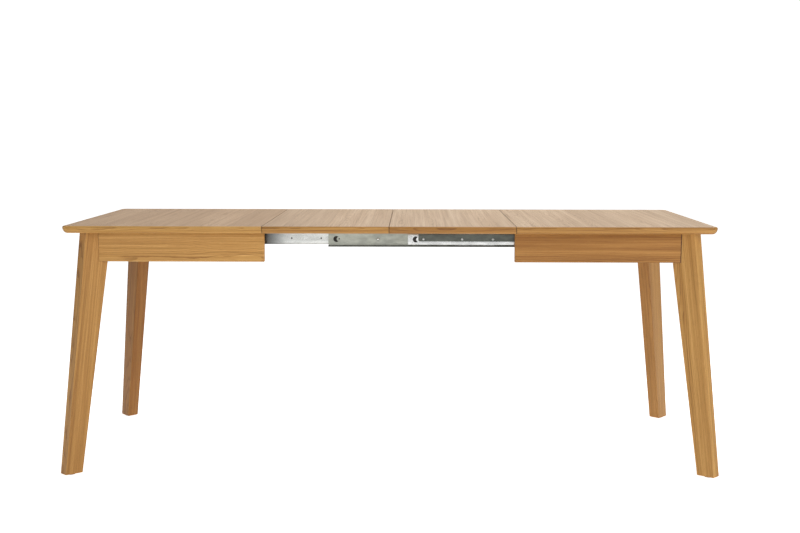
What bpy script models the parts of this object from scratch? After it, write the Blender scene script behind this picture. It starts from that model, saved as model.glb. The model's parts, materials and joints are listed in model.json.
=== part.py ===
"""Extendable dining table, pulled out to its full length with both loose leaves in place.

The frame is two half tables, each half top on two splayed legs and three aprons. Two telescopic ball
slides, one behind each side apron, join the halves and carry the leaves.
Metres, +Z up. The origin is on the floor under the middle of the table, +X runs along its length and
the front is at -Y. Everything is the same after half a turn about Z, so each half is made once in
the left-hand place and once more turned.
"""

import math

import bmesh
import bpy
from mathutils import Matrix, Vector

# Driving dimensions
HEIGHT = 0.760
LENGTH = 1.960
WIDTH = 0.800
LEAF = 0.380
TOP_THICKNESS = 0.022
TOUCH = 0.0003  # gap kept between two pieces that touch

# Top: the moulded edge as (inset, depth below the surface), and the corner seen from above
EDGE_NOSE_DEPTH = 0.0045
EDGE_NOSE_INSET = 0.0045
EDGE_BOTTOM_INSET = 0.0155
CORNER_RADIUS = 0.018
SEAM_GAP = 0.0010

# Aprons, set back from the edge of the top
APRON_SETBACK = 0.065
APRON_THICKNESS = 0.020
APRON_BOTTOM = 0.647
APRON_FROM_END = 0.080  # where the uncut board starts, inside the leg
APRON_EDGE_RADIUS = 0.0012

# Legs: a wedge section on the diagonal, given at the underside of the top and at the floor.
# reach is how far the middle of the outer edge stands in from both sides of the top.
LEG_TOP = {"reach": 0.052, "outer": 0.036, "inner": 0.048, "depth": 0.084}
LEG_FOOT = {"reach": -0.011, "outer": 0.031, "inner": 0.041, "depth": 0.054}
LEG_EDGE_RADIUS = 0.003
GLIDE_RADIUS = 0.013
GLIDE_THICKNESS = 0.003

# Corner blocks and the two hanger bolts that hold each leg
BLOCK_OUTER_REACH = 0.078  # how far its outer face stands in from the aprons' crossing, along X and Y
BLOCK_DEPTH = 0.042
BLOCK_FROM_TOP, BLOCK_ABOVE_APRON = 0.001, 0.006
BOLT_RADIUS = 0.004
BOLT_HEIGHTS = (0.670, 0.716)
BOLT_IN_LEG, BOLT_PAST_BLOCK = 0.040, 0.014
NUT_RADIUS, NUT_THICKNESS = 0.0075, 0.0065
WASHER_RADIUS, WASHER_THICKNESS = 0.011, 0.0016

# Telescopic slides. Heights are about the slide's middle; across is measured inwards from the
# inner face of the apron. The slide is two ball slides riveted web to web.
SHEET, BEND = 0.0015, 0.0020
CHANNEL_HEIGHT, CHANNEL_DEPTH, CHANNEL_LIP = 0.046, 0.0108, 0.0042
RAIL_HEIGHT, RAIL_DEPTH = 0.033, 0.0065
SLIDE_MIDDLE = HEIGHT - TOP_THICKNESS - 0.0005 - CHANNEL_HEIGHT / 2
STRIP_THICKNESS, STRIP_BOTTOM, STRIP_TOP = 0.0015, 0.7085, 0.7305
APRON_RAIL_ACROSS = STRIP_THICKNESS + 2 * TOUCH
FRONT_CHANNEL_ACROSS = 0.0022
WEB_PLANE = FRONT_CHANNEL_ACROSS + CHANNEL_DEPTH + TOUCH / 2
BALL_RADIUS, BALL_PITCH, BALLS = 0.0023, 0.0188, 6
BALL_ROW = (CHANNEL_HEIGHT / 2 - SHEET + RAIL_HEIGHT / 2) / 2  # height of a row, half way between raceways
BALL_ACROSS, CAGE_TIP = 0.0050, 0.0030  # both from the rail's web
CAGE_FROM_WEB, CAGE_SHEET = 0.0019, 0.0006  # far enough from the web to run over the rivet heads

# Runs of the front slide along the table
RUNNER_RAIL_RUN = (-0.600, -0.090)
RUNNER_CHANNEL_RUN = (-0.187, 0.270)
APRON_CHANNEL_RUN = (-0.187, 0.520)
APRON_RAIL_RUN = (0.056, 0.586)
APRON_STRIP_RUN = (0.088, 0.584)
RUNNER_CAGE_RUN = (-0.183, -0.101)
APRON_CAGE_RUN = (0.200, 0.320)
RUNNER_RUN = (-0.790, -0.390)
RUNNER_THICKNESS, RUNNER_BOTTOM, RUNNER_EDGE_RADIUS = 0.022, 0.693, 0.0015
# The stop slot is a crescent round a tab, near the left end of a web
STOP_FROM_END, STOP_RADIUS, STOP_TAB_RADIUS, STOP_TAB_SHIFT = 0.0240, 0.0092, 0.0070, 0.0082
# Holes as (places along X, radius, height above the slide's middle)
RUNNER_RAIL_HOLES = ((-0.3003, -0.2100), 0.0025, 0.0015)
CHANNEL_HOLES = ((-0.1540,), 0.0022, 0.0005)
APRON_RAIL_HOLES = ((0.1035, 0.2213, 0.3152), 0.0020, 0.0005)
STRIP_HOLES = (APRON_RAIL_HOLES[0], 0.0032, 0.0005)
RIVETS = (-0.035, 0.130)
RIVET_RADIUS, RIVET_HEAD_RADIUS, RIVET_CROWN_RADIUS, RIVET_HEAD = 0.0024, 0.0040, 0.0032, 0.0010
RUNNER_SCREWS = (-0.430, -0.550)
APRON_SCREWS = (0.450, 0.560)
SCREW_RADIUS, SCREW_LENGTH = 0.0020, 0.0150
SCREW_HEAD_RADIUS, SCREW_CROWN_RADIUS, SCREW_HEAD = 0.0040, 0.0028, 0.0014

# Battens under the leaves, which keep them between the slides
BATTEN_WIDTH, BATTEN_THICKNESS, BATTEN_HALF_SPAN, BATTEN_EDGE_RADIUS = 0.040, 0.022, 0.2865, 0.002

UNDERSIDE = HEIGHT - TOP_THICKNESS
FRAME_TOP = UNDERSIDE - TOUCH
APRON_INNER = WIDTH / 2 - APRON_SETBACK - APRON_THICKNESS
TURN = Matrix.Rotation(math.pi, 4, "Z")


# ---------------------------------------------------------------- scene and materials

def clear_scene():
    for obj in list(bpy.data.objects):
        bpy.data.objects.remove(obj, do_unlink=True)


def collection(name):
    made = bpy.data.collections.new(name)
    bpy.context.scene.collection.children.link(made)
    return made


def material(name, colour, roughness, metallic=0.0):
    made = bpy.data.materials.new(name)
    made.use_nodes = True
    shader = made.node_tree.nodes["Principled BSDF"]
    shader.inputs["Base Color"].default_value = (*colour, 1.0)
    shader.inputs["Roughness"].default_value = roughness
    shader.inputs["Metallic"].default_value = metallic
    return made


# ---------------------------------------------------------------- shapes

def add(name, mesh, into, finish=None):
    obj = bpy.data.objects.new(name, mesh)
    into.objects.link(obj)
    if finish:
        mesh.materials.append(finish)
    return obj


def as_cutter(obj):
    obj.hide_render = True
    obj.display_type = "WIRE"
    return obj


def mesh_of(name, bm):
    bmesh.ops.recalc_face_normals(bm, faces=bm.faces)
    mesh = bpy.data.meshes.new(name)
    bm.to_mesh(mesh)
    bm.free()
    return mesh


def box(name, low, high, into, finish=None, rounded=0.0):
    """A box between two corners, its origin at its middle."""
    low, high = Vector(low), Vector(high)
    bm = bmesh.new()
    bmesh.ops.create_cube(bm, size=1.0)
    bmesh.ops.scale(bm, vec=high - low, verts=bm.verts)
    obj = add(name, mesh_of(name, bm), into, finish)
    obj.location = (low + high) / 2
    if rounded:
        round_edges(obj, rounded)
    return obj


def round_edges(obj, radius, segments=2):
    bevel = obj.modifiers.new("Rounded edges", "BEVEL")
    bevel.width = radius
    bevel.segments = segments
    bevel.limit_method = "ANGLE"
    bevel.angle_limit = math.radians(40)


def cut(obj, *cutters):
    for cutter in cutters:
        boolean = obj.modifiers.new("Cut " + cutter.name, "BOOLEAN")
        boolean.operation = "DIFFERENCE"
        boolean.object = cutter


def cylinder(bm, radius, start, end, segments=16):
    """Adds a capped cylinder between two points to a bmesh."""
    start, end = Vector(start), Vector(end)
    along = end - start
    place = Matrix.Translation((start + end) / 2) @ along.to_track_quat("Z", "Y").to_matrix().to_4x4()
    bmesh.ops.create_cone(
        bm, cap_ends=True, segments=segments, radius1=radius, radius2=radius,
        depth=along.length, matrix=place,
    )


def rod_cutter(name, radius, start, end, segments=16):
    bm = bmesh.new()
    cylinder(bm, radius, start, end, segments)
    return as_cutter(add(name, mesh_of(name, bm), CUTTERS))


def turned(name, profile, start, direction, into, finish, steps=16):
    """A turned piece: profile is (distance along, radius) from its tail to its head."""
    mesh = bpy.data.meshes.new(name)
    points = [(radius, 0.0, along) for along, radius in reversed(profile)]
    mesh.from_pydata(points, [(i, i + 1) for i in range(len(points) - 1)], [])
    obj = add(name, mesh, into, finish)
    obj.location = start
    obj.rotation_euler = Vector(direction).to_track_quat("Z", "Y").to_euler()
    screw = obj.modifiers.new("Turned", "SCREW")
    screw.steps = screw.render_steps = steps
    screw.use_merge_vertices = True
    screw.merge_threshold = 0.00001
    return obj


def extruded(name, outline, run, into, finish):
    """A bar along X: outline is its section as (Y, Z) points, run is where it starts and ends."""
    curve = bpy.data.curves.new(name + " section", "CURVE")
    curve.dimensions = "2D"
    curve.fill_mode = "BOTH"
    curve.extrude = (run[1] - run[0]) / 2
    spline = curve.splines.new("POLY")
    spline.points.add(len(outline) - 1)
    for point, (y, z) in zip(spline.points, outline):
        point.co = (y, z, 0.0, 1.0)
    spline.use_cyclic_u = True
    guide = bpy.data.objects.new(name + " section", curve)
    into.objects.link(guide)
    # The curve's own X and Y become the bar's Y and Z.
    guide.matrix_world = Matrix.Translation(((run[0] + run[1]) / 2, 0, 0)) @ Matrix(
        ((0, 0, 1, 0), (1, 0, 0, 0), (0, 1, 0, 0), (0, 0, 0, 1))
    )
    bpy.context.view_layer.update()
    evaluated = guide.evaluated_get(bpy.context.evaluated_depsgraph_get())
    mesh = bpy.data.meshes.new_from_object(evaluated)
    place = guide.matrix_world.copy()
    bpy.data.objects.remove(guide)
    bm = bmesh.new()
    bm.from_mesh(mesh)
    bmesh.ops.remove_doubles(bm, verts=bm.verts, dist=0.00001)
    bmesh.ops.recalc_face_normals(bm, faces=bm.faces)
    bm.to_mesh(mesh)
    bm.free()
    mesh.materials.clear()
    obj = add(name, mesh, into, finish)
    obj.matrix_world = place
    return obj


def twin(obj, name, into):
    """The same piece after half a turn of the table about Z, on a mesh of its own."""
    bpy.context.view_layer.update()
    evaluated = obj.evaluated_get(bpy.context.evaluated_depsgraph_get())
    mesh = bpy.data.meshes.new_from_object(evaluated)
    mesh.name = name
    made = add(name, mesh, into)
    made.matrix_world = TURN @ obj.matrix_world
    return made


def front_to_back(obj):
    """Reflects an unplaced object's mesh front to back."""
    bm = bmesh.new()
    bm.from_mesh(obj.data)
    bmesh.ops.scale(bm, vec=(1, -1, 1), verts=bm.verts)
    bmesh.ops.reverse_faces(bm, faces=bm.faces)
    bm.to_mesh(obj.data)
    bm.free()


# ---------------------------------------------------------------- top and leaves

def edge_profile():
    """(inset, depth) from the top surface, round the nose and along the undercut to the underside."""
    points = []
    for i in range(4):
        angle = math.radians(90 * i / 4)
        points.append((EDGE_NOSE_INSET * (1 - math.sin(angle)), EDGE_NOSE_DEPTH * (1 - math.cos(angle))))
    under = TOP_THICKNESS - EDGE_NOSE_DEPTH
    for i in range(7):
        angle = math.radians(90 * i / 6)
        inset = EDGE_BOTTOM_INSET * (1 - math.cos(angle))
        points.append((inset, EDGE_NOSE_DEPTH + under * math.sin(angle)))
    return points


def rounded_rectangle(inset):
    """Corner-rounded outline of the whole top at this inset."""
    radius = CORNER_RADIUS - inset
    half_x, half_y = LENGTH / 2 - CORNER_RADIUS, WIDTH / 2 - CORNER_RADIUS
    points = []
    for corner, (sx, sy) in enumerate(((1, 1), (-1, 1), (-1, -1), (1, -1))):
        for i in range(7):
            angle = math.radians(90 * corner + 90 * i / 6)
            points.append((sx * half_x + radius * math.cos(angle), sy * half_y + radius * math.sin(angle)))
    return points


def whole_top():
    """The whole moulded top as one mesh, before it is cut into four boards."""
    bm = bmesh.new()
    loops = []
    for inset, depth in edge_profile():
        verts = [bm.verts.new((x, y, HEIGHT - depth)) for x, y in rounded_rectangle(inset)]
        loops.append([bm.edges.new((a, b)) for a, b in zip(verts, verts[1:] + verts[:1])])
        last = verts
        if len(loops) == 1:
            bm.faces.new(verts)
    bm.faces.new(list(reversed(last)))
    for above, below in zip(loops, loops[1:]):
        bmesh.ops.bridge_loops(bm, edges=above + below)
    return mesh_of("whole top", bm)


def board(name, start, end, shared):
    """One board of the top, between two seams."""
    obj = add(name, shared.copy(), TABLE, OAK_VENEER)
    keep = box(name + " keep", (start, -WIDTH, HEIGHT - 0.1), (end, WIDTH, HEIGHT + 0.1), CUTTERS)
    as_cutter(keep)
    slice_out = obj.modifiers.new("Between the seams", "BOOLEAN")
    slice_out.operation = "INTERSECT"
    slice_out.object = keep


def make_top():
    shared = whole_top()
    gap, far = SEAM_GAP / 2, LENGTH
    board("left_top_half", -far, -LEAF - gap, shared)
    board("left_leaf", -LEAF + gap, -gap, shared)
    board("right_leaf", gap, LEAF - gap, shared)
    board("right_top_half", LEAF + gap, far, shared)
    for side, name in ((-1, "left_leaf_batten"), (1, "right_leaf_batten")):
        middle = side * LEAF / 2
        box(
            name,
            (middle - BATTEN_WIDTH / 2, -BATTEN_HALF_SPAN, FRAME_TOP - BATTEN_THICKNESS),
            (middle + BATTEN_WIDTH / 2, BATTEN_HALF_SPAN, FRAME_TOP),
            TABLE, OAK, BATTEN_EDGE_RADIUS,
        )


# ---------------------------------------------------------------- legs, aprons and corners

def leg_section(z, grown=0.0):
    """The leg's four corners at this height, for the front left leg: outer pair, then inner pair."""
    share = z / UNDERSIDE
    size = {k: LEG_FOOT[k] + (LEG_TOP[k] - LEG_FOOT[k]) * share for k in LEG_TOP}
    middle = Vector((-LENGTH / 2 + size["reach"], -WIDTH / 2 + size["reach"], z))
    inwards = Vector((1, 1, 0)).normalized()
    across = Vector((1, -1, 0)).normalized()
    corners = []
    for along, half in (
        (-grown, size["outer"] / 2 + grown),
        (size["depth"] + grown, size["inner"] / 2 + grown),
    ):
        for sign in (1, -1):
            corners.append(middle + along * inwards + sign * half * across)
    return corners


def leg_bmesh(bottom, top, grown=0.0):
    """A cube whose corners are moved to the leg's section at its two ends."""
    bm = bmesh.new()
    bmesh.ops.create_cube(bm, size=2.0)
    for vert in bm.verts:
        z = top if vert.co.z > 0 else bottom
        vert.co = leg_section(z, grown)[(0 if vert.co.x < 0 else 2) + (0 if vert.co.y < 0 else 1)]
    return bm


def in_corner(x_from_end, y_from_side, z):
    """A point given by its distances in from the left end and the front side of the top."""
    return Vector((-LENGTH / 2 + x_from_end, -WIDTH / 2 + y_from_side, z))


def block_bmesh():
    """The corner block: a trapezium across the corner, between the inner faces of the two aprons."""
    face = APRON_SETBACK + APRON_THICKNESS + TOUCH
    outer_sum = 2 * APRON_SETBACK + BLOCK_OUTER_REACH
    inner_sum = outer_sum + BLOCK_DEPTH * math.sqrt(2)
    bm = bmesh.new()
    bmesh.ops.create_cube(bm, size=2.0)
    for vert in bm.verts:
        far = (inner_sum if vert.co.x > 0 else outer_sum) - face
        z = FRAME_TOP - BLOCK_FROM_TOP if vert.co.z > 0 else APRON_BOTTOM + BLOCK_ABOVE_APRON
        vert.co = in_corner(far, face, z) if vert.co.y < 0 else in_corner(face, far, z)
    return bm, inner_sum / math.sqrt(2)


def bolt(name, height, block_face, mirror, holes):
    """A hanger bolt with its washer and nut, along the diagonal of the corner. Its hole joins holes."""
    inwards = Vector((1, 1, 0)).normalized()
    corner = in_corner(0, 0, height)
    inner_edge_middle = (leg_section(height)[2] + leg_section(height)[3]) / 2
    leg_face = (inner_edge_middle - corner).dot(inwards)
    tail, nut = leg_face - BOLT_IN_LEG, block_face + TOUCH
    bm = bmesh.new()
    cylinder(bm, BOLT_RADIUS, corner + tail * inwards, corner + (nut + BOLT_PAST_BLOCK) * inwards, 12)
    shank = add(name, mesh_of(name, bm), TABLE, STEEL)
    for label, radius, start, depth, sides in (
        ("washer", WASHER_RADIUS, nut, WASHER_THICKNESS, 16),
        ("nut", NUT_RADIUS, nut + WASHER_THICKNESS - 0.0002, NUT_THICKNESS, 6),
    ):
        bm = bmesh.new()
        cylinder(bm, radius, corner + start * inwards, corner + (start + depth) * inwards, sides)
        part = as_cutter(add(name + " " + label, mesh_of(name + label, bm), CUTTERS))
        if mirror:
            front_to_back(part)
        join = shank.modifiers.new("Join " + label, "BOOLEAN")
        join.operation = "UNION"
        join.object = part
    hole = rod_cutter(
        name + " hole", BOLT_RADIUS + TOUCH,
        corner + (tail - TOUCH) * inwards, corner + (nut + 0.05) * inwards, 12,
    )
    if mirror:
        front_to_back(shank)
        front_to_back(hole)
    holes.append(hole)


def make_corner(place, mirror):
    """A leg with its glide, corner block and bolts, at the left end of the front or back side.

    Returns the grown leg, which cuts the ends of the aprons."""
    holes = []
    bm, block_face = block_bmesh()
    block = add(place + "_corner_block", mesh_of("block", bm), TABLE, OAK)
    leg = add(place + "_leg", mesh_of("leg", leg_bmesh(GLIDE_THICKNESS + TOUCH, FRAME_TOP)), TABLE, OAK)
    grown = add(place + " leg space", mesh_of("leg space", leg_bmesh(-0.05, 0.8, TOUCH)), CUTTERS)
    as_cutter(grown)
    for piece in (block, leg, grown):
        if mirror:
            front_to_back(piece)
    round_edges(leg, LEG_EDGE_RADIUS)
    for label, height in zip(("lower", "upper"), BOLT_HEIGHTS):
        bolt(f"{place}_leg_bolt_{label}", height, block_face, mirror, holes)
    cut(leg, *holes)
    cut(block, grown, *holes)

    foot = sum(leg_section(0), Vector()) / 4
    if mirror:
        foot.y = -foot.y
    turned(
        place + "_foot_glide",
        ((0, 0), (0, GLIDE_RADIUS - 0.001), (0.001, GLIDE_RADIUS), (GLIDE_THICKNESS, GLIDE_RADIUS),
         (GLIDE_THICKNESS, 0)),
        foot, (0, 0, 1), TABLE, NYLON, 20,
    )
    return grown


def make_half_frame():
    """The left half frame: legs, aprons, corner blocks and bolts."""
    outer, inner = WIDTH / 2 - APRON_SETBACK, APRON_INNER
    front_leg = make_corner("front_left", False)
    back_leg = make_corner("back_left", True)
    start = -LENGTH / 2 + APRON_FROM_END
    for name, side, leg in (("front_left_apron", -1, front_leg), ("back_left_apron", 1, back_leg)):
        low, high = sorted((side * outer, side * inner))
        apron = box(
            name, (start, low, APRON_BOTTOM), (-LEAF - SEAM_GAP / 2, high, FRAME_TOP),
            TABLE, OAK, APRON_EDGE_RADIUS,
        )
        cut(apron, leg)
    end_face = -LENGTH / 2 + APRON_SETBACK
    end = box(
        "left_end_apron", (end_face, -WIDTH / 2 + APRON_FROM_END, APRON_BOTTOM),
        (end_face + APRON_THICKNESS, WIDTH / 2 - APRON_FROM_END, FRAME_TOP), TABLE, OAK, APRON_EDGE_RADIUS,
    )
    cut(end, front_leg, back_leg)


# ---------------------------------------------------------------- telescopic slides

def slide_y(across):
    """World Y of a distance inwards from the inner face of the front apron."""
    return -APRON_INNER + across


def flip(across):
    """The runner half of a slide is the apron half reflected about the plane between the two webs."""
    return 2 * WEB_PLANE - across


def section(parts, reflect):
    """(Y, Z) points of a section given as (across, height about the middle)."""
    return [(slide_y(flip(a) if reflect else a), SLIDE_MIDDLE + h) for a, h in parts]


def channel_section():
    """The wide outer channel: web on the inside, flanges, and lips that hold the balls in."""
    half, web = CHANNEL_HEIGHT / 2, FRONT_CHANNEL_ACROSS + CHANNEL_DEPTH
    mouth, bend = FRONT_CHANNEL_ACROSS, BEND
    upper = [
        (web, half - bend), (web - bend, half), (mouth + bend, half), (mouth, half - bend),
        (mouth, half - CHANNEL_LIP), (mouth + SHEET, half - CHANNEL_LIP),
        (mouth + SHEET, half - bend), (mouth + bend, half - SHEET), (web - bend, half - SHEET),
        (web - SHEET, half - bend),
    ]
    return upper + [(a, -h) for a, h in reversed(upper)]


def rail_section():
    """The narrow inner rail: a flat web on the outside and two flanges that the balls run on."""
    half, back, bend = RAIL_HEIGHT / 2, APRON_RAIL_ACROSS, BEND
    tip = back + RAIL_DEPTH
    upper = [
        (back, half - bend), (back + bend, half), (tip, half), (tip, half - SHEET),
        (back + bend, half - SHEET), (back + SHEET, half - bend),
    ]
    return upper + [(a, -h) for a, h in reversed(upper)]


def cage_section():
    """The ball cage: a thin web behind the rail's flanges and two strips between the raceways."""
    web, tip = FRONT_CHANNEL_ACROSS + CHANNEL_DEPTH - SHEET - CAGE_FROM_WEB, APRON_RAIL_ACROSS + CAGE_TIP
    outer, inner = BALL_ROW + CAGE_SHEET / 2, BALL_ROW - CAGE_SHEET / 2
    upper = [(web, outer), (tip, outer), (tip, inner), (web - CAGE_SHEET, inner)]
    return upper + [(a, -h) for a, h in reversed(upper)]


def stop_slot(name, end, outer, inner):
    """Cutter for the crescent round the stop tab near a web's left end, between two depths."""
    middle = end + STOP_FROM_END
    slot = rod_cutter(
        name, STOP_RADIUS, (middle, slide_y(outer), SLIDE_MIDDLE), (middle, slide_y(inner), SLIDE_MIDDLE)
    )
    middle += STOP_TAB_SHIFT
    outer, inner = outer - 0.001, inner + 0.001
    tab = rod_cutter(
        name + " tab", STOP_TAB_RADIUS,
        (middle, slide_y(outer), SLIDE_MIDDLE), (middle, slide_y(inner), SLIDE_MIDDLE),
    )
    cut(slot, tab)
    return slot


def cross_holes(name, places, radius, height=0.0):
    """Cutters for round holes right through the slide, one for each place along X."""
    z = SLIDE_MIDDLE + height
    start, end = slide_y(-0.004), slide_y(0.034)
    return [rod_cutter(f"{name} {i}", radius, (x, start, z), (x, end, z)) for i, x in enumerate(places)]


def cage(name, run, reflect):
    """A ball cage with a row of balls above and below, which turn in its strips."""
    obj = extruded(name, section(cage_section(), reflect), run, TABLE, CAGE)
    across = APRON_RAIL_ACROSS + BALL_ACROSS
    y = slide_y(flip(across) if reflect else across)
    middle = (run[0] + run[1]) / 2
    count = min(BALLS, int((run[1] - run[0]) / BALL_PITCH))
    for i in range(count):
        for level in (-1, 1):
            x = middle + (i - (count - 1) / 2) * BALL_PITCH
            bm = bmesh.new()
            bmesh.ops.create_icosphere(
                bm, subdivisions=1, radius=BALL_RADIUS,
                matrix=Matrix.Translation((x, y, SLIDE_MIDDLE + level * BALL_ROW)),
            )
            ball = as_cutter(add(f"{name} ball {i} {level}", mesh_of("ball", bm), CUTTERS))
            join = obj.modifiers.new("Ball", "BOOLEAN")
            join.operation = "UNION"
            join.object = ball


def rivet(name, x):
    """A rivet through the two channel webs, with a low head on each side."""
    reach = SHEET + TOUCH / 2 + 0.0002
    half = reach + RIVET_HEAD
    side = [(reach, RIVET_RADIUS), (reach, RIVET_HEAD_RADIUS), (half, RIVET_CROWN_RADIUS), (half, 0)]
    turned(
        name, [(-along, radius) for along, radius in reversed(side)] + side,
        (x, slide_y(WEB_PLANE), SLIDE_MIDDLE), (0, 1, 0), TABLE, ZINC,
    )


def rail_screw(name, x, web_across, direction):
    """A pan-head screw through a rail's web into the wood behind it. direction is the way it points."""
    lift = SHEET + TOUCH
    start = (x, slide_y(web_across), SLIDE_MIDDLE)
    turned(
        name,
        ((-SCREW_LENGTH, 0), (-SCREW_LENGTH + 0.002, SCREW_RADIUS), (lift, SCREW_RADIUS),
         (lift, SCREW_HEAD_RADIUS), (lift + SCREW_HEAD, SCREW_CROWN_RADIUS), (lift + SCREW_HEAD, 0)),
        start, (0, -direction, 0), TABLE, ZINC, 12,
    )
    return rod_cutter(
        name + " hole", SCREW_RADIUS + TOUCH,
        (x, start[1] + direction * (SCREW_LENGTH + TOUCH), SLIDE_MIDDLE),
        (x, start[1] - direction * 0.003, SLIDE_MIDDLE), 12,
    )


def make_runner_side():
    """The channel and rail on the runner's side of the slide, and the runner. Gives the channel."""
    rail = extruded("front_left_rail", section(rail_section(), True), RUNNER_RAIL_RUN, TABLE, ZINC)
    channel = extruded(
        "front_left_channel", section(channel_section(), True), RUNNER_CHANNEL_RUN, TABLE, ZINC
    )
    cut(rail, *cross_holes("runner rail hole", *RUNNER_RAIL_HOLES))
    cage("front_left_ball_cage", RUNNER_CAGE_RUN, True)
    face = flip(APRON_RAIL_ACROSS) + TOUCH
    runner = box(
        "front_left_runner", (RUNNER_RUN[0], slide_y(face), RUNNER_BOTTOM),
        (RUNNER_RUN[1], slide_y(face + RUNNER_THICKNESS), FRAME_TOP), TABLE, OAK, RUNNER_EDGE_RADIUS,
    )
    for i, x in enumerate(RUNNER_SCREWS):
        hole = rail_screw(f"front_left_rail_screw_{i + 1}", x, flip(APRON_RAIL_ACROSS), 1)
        cut(rail, hole)
        cut(runner, hole)
    return channel


def make_apron_side():
    """The channel and rail on the apron's side, and the rail's mounting strip.

    Gives the channel, and the screw holes that the apron takes."""
    channel = extruded(
        "front_right_channel", section(channel_section(), False), APRON_CHANNEL_RUN, TABLE, ZINC
    )
    rail = extruded("front_right_rail", section(rail_section(), False), APRON_RAIL_RUN, TABLE, ZINC)
    strip_y = slide_y(TOUCH)
    strip = box(
        "front_right_mount_strip", (APRON_STRIP_RUN[0], strip_y, STRIP_BOTTOM),
        (APRON_STRIP_RUN[1], strip_y + STRIP_THICKNESS, STRIP_TOP), TABLE, DARK_STEEL,
    )
    cut(rail, stop_slot("rail stop slot", APRON_RAIL_RUN[0], -0.002, APRON_RAIL_ACROSS + 0.004))
    cut(rail, *cross_holes("apron rail hole", *APRON_RAIL_HOLES))
    cut(strip, *cross_holes("strip hole", *STRIP_HOLES))
    cage("front_right_ball_cage", APRON_CAGE_RUN, False)
    screw_holes = [
        rail_screw(f"front_right_rail_screw_{i + 1}", x, APRON_RAIL_ACROSS, -1)
        for i, x in enumerate(APRON_SCREWS)
    ]
    cut(rail, *screw_holes)
    cut(strip, *screw_holes)
    return channel, screw_holes


def make_front_slide():
    """The slide behind the front aprons: two ball slides, riveted web to web.

    Gives the screw holes that the front right apron takes."""
    near_channel = make_runner_side()
    far_channel, screw_holes = make_apron_side()
    cutters = [
        stop_slot("channel stop slot", APRON_CHANNEL_RUN[0], WEB_PLANE - 0.004, WEB_PLANE + 0.004),
        *cross_holes("rivet hole", RIVETS, RIVET_RADIUS + TOUCH),
        *cross_holes("channel hole", *CHANNEL_HOLES),
    ]
    cut(near_channel, *cutters)
    cut(far_channel, *cutters)
    for i, x in enumerate(RIVETS):
        rivet(f"front_rivet_{i + 1}", x)
    return screw_holes


# ---------------------------------------------------------------- the other half by rotation

SWAP = {"front": "back", "back": "front", "left": "right", "right": "left"}


def turned_name(name):
    return "_".join(SWAP.get(word, word) for word in name.split("_"))


def make_twins():
    """Every piece but the top boards and battens again, after half a turn about Z."""
    bpy.context.view_layer.update()
    for obj in list(TABLE.objects):
        if turned_name(obj.name) not in TABLE.objects:
            twin(obj, turned_name(obj.name), TABLE)


def twin_cutters(cutters):
    made = []
    for cutter in cutters:
        copy = as_cutter(add(cutter.name + " turned", cutter.data.copy(), CUTTERS))
        copy.matrix_world = TURN @ cutter.matrix_world
        made.append(copy)
    return made


clear_scene()
TABLE = collection("Extendable dining table")
CUTTERS = collection("Cutters")
OAK = material("Oiled oak", (0.50, 0.28, 0.11), 0.45)
OAK_VENEER = material("Oak veneer", (0.60, 0.42, 0.27), 0.40)
STEEL = material("Bolt steel", (0.55, 0.55, 0.56), 0.35, 1.0)
ZINC = material("Zinc-plated steel", (0.72, 0.73, 0.73), 0.30, 1.0)
DARK_STEEL = material("Dark steel strip", (0.28, 0.29, 0.28), 0.45, 1.0)
CAGE = material("Cage steel", (0.60, 0.60, 0.60), 0.40, 1.0)
NYLON = material("Glide nylon", (0.16, 0.12, 0.09), 0.85)

make_top()
make_half_frame()
apron_screw_holes = make_front_slide()
# The front slide's right rail is screwed to the front right apron, which is the turned copy of the
# back left one, so that apron takes the holes after half a turn.
cut(bpy.data.objects["back_left_apron"], *twin_cutters(apron_screw_holes))
make_twins()
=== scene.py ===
import json
import math
import random

import bmesh
import bpy
from mathutils import Matrix, Vector


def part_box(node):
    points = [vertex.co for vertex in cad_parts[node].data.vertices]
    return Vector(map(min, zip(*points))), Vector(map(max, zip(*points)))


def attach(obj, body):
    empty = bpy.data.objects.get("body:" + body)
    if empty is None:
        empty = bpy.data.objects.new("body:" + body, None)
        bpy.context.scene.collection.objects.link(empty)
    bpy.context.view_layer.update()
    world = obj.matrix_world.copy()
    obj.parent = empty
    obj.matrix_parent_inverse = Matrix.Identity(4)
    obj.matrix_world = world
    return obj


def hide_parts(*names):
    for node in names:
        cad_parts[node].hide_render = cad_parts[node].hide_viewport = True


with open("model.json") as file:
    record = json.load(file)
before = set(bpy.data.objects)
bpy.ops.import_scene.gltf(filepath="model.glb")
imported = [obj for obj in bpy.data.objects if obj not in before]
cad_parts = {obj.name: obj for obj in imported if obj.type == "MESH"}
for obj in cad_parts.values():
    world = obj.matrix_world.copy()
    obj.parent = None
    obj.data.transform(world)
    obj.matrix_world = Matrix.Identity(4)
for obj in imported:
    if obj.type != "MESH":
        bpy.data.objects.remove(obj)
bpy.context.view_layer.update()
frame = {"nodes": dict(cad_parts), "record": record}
NODES = frame["nodes"]
RECORD = frame["record"]
BODY_OF = {node: body for body, members in RECORD["behaviour"]["bodies"].items() for node in members}

# The top, in metres: its size as the frame has it, then its moulded edge, its corners and its seams
TABLE_LOW, TABLE_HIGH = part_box("left_top_half")[0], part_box("right_top_half")[1]
LENGTH = TABLE_HIGH.x - TABLE_LOW.x
WIDTH = TABLE_HIGH.y - TABLE_LOW.y
HEIGHT = TABLE_HIGH.z
UNDERSIDE = TABLE_LOW.z
TOP_THICKNESS = HEIGHT - UNDERSIDE
NOSE_DEPTH, NOSE_INSET, BOTTOM_INSET = 0.0045, 0.0045, 0.0155
TOP_RIM = 0.0015
NOSE_STEPS, UNDERCUT_STEPS, CORNER_STEPS = 8, 14, 12
WEAR_DEPTH, WEAR_SPREAD = 0.0013, 0.0030
CORNER_RADIUS = 0.018
SEAM_EDGE_RADIUS = 0.0005
SAME_PLACE = 0.00001

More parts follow.
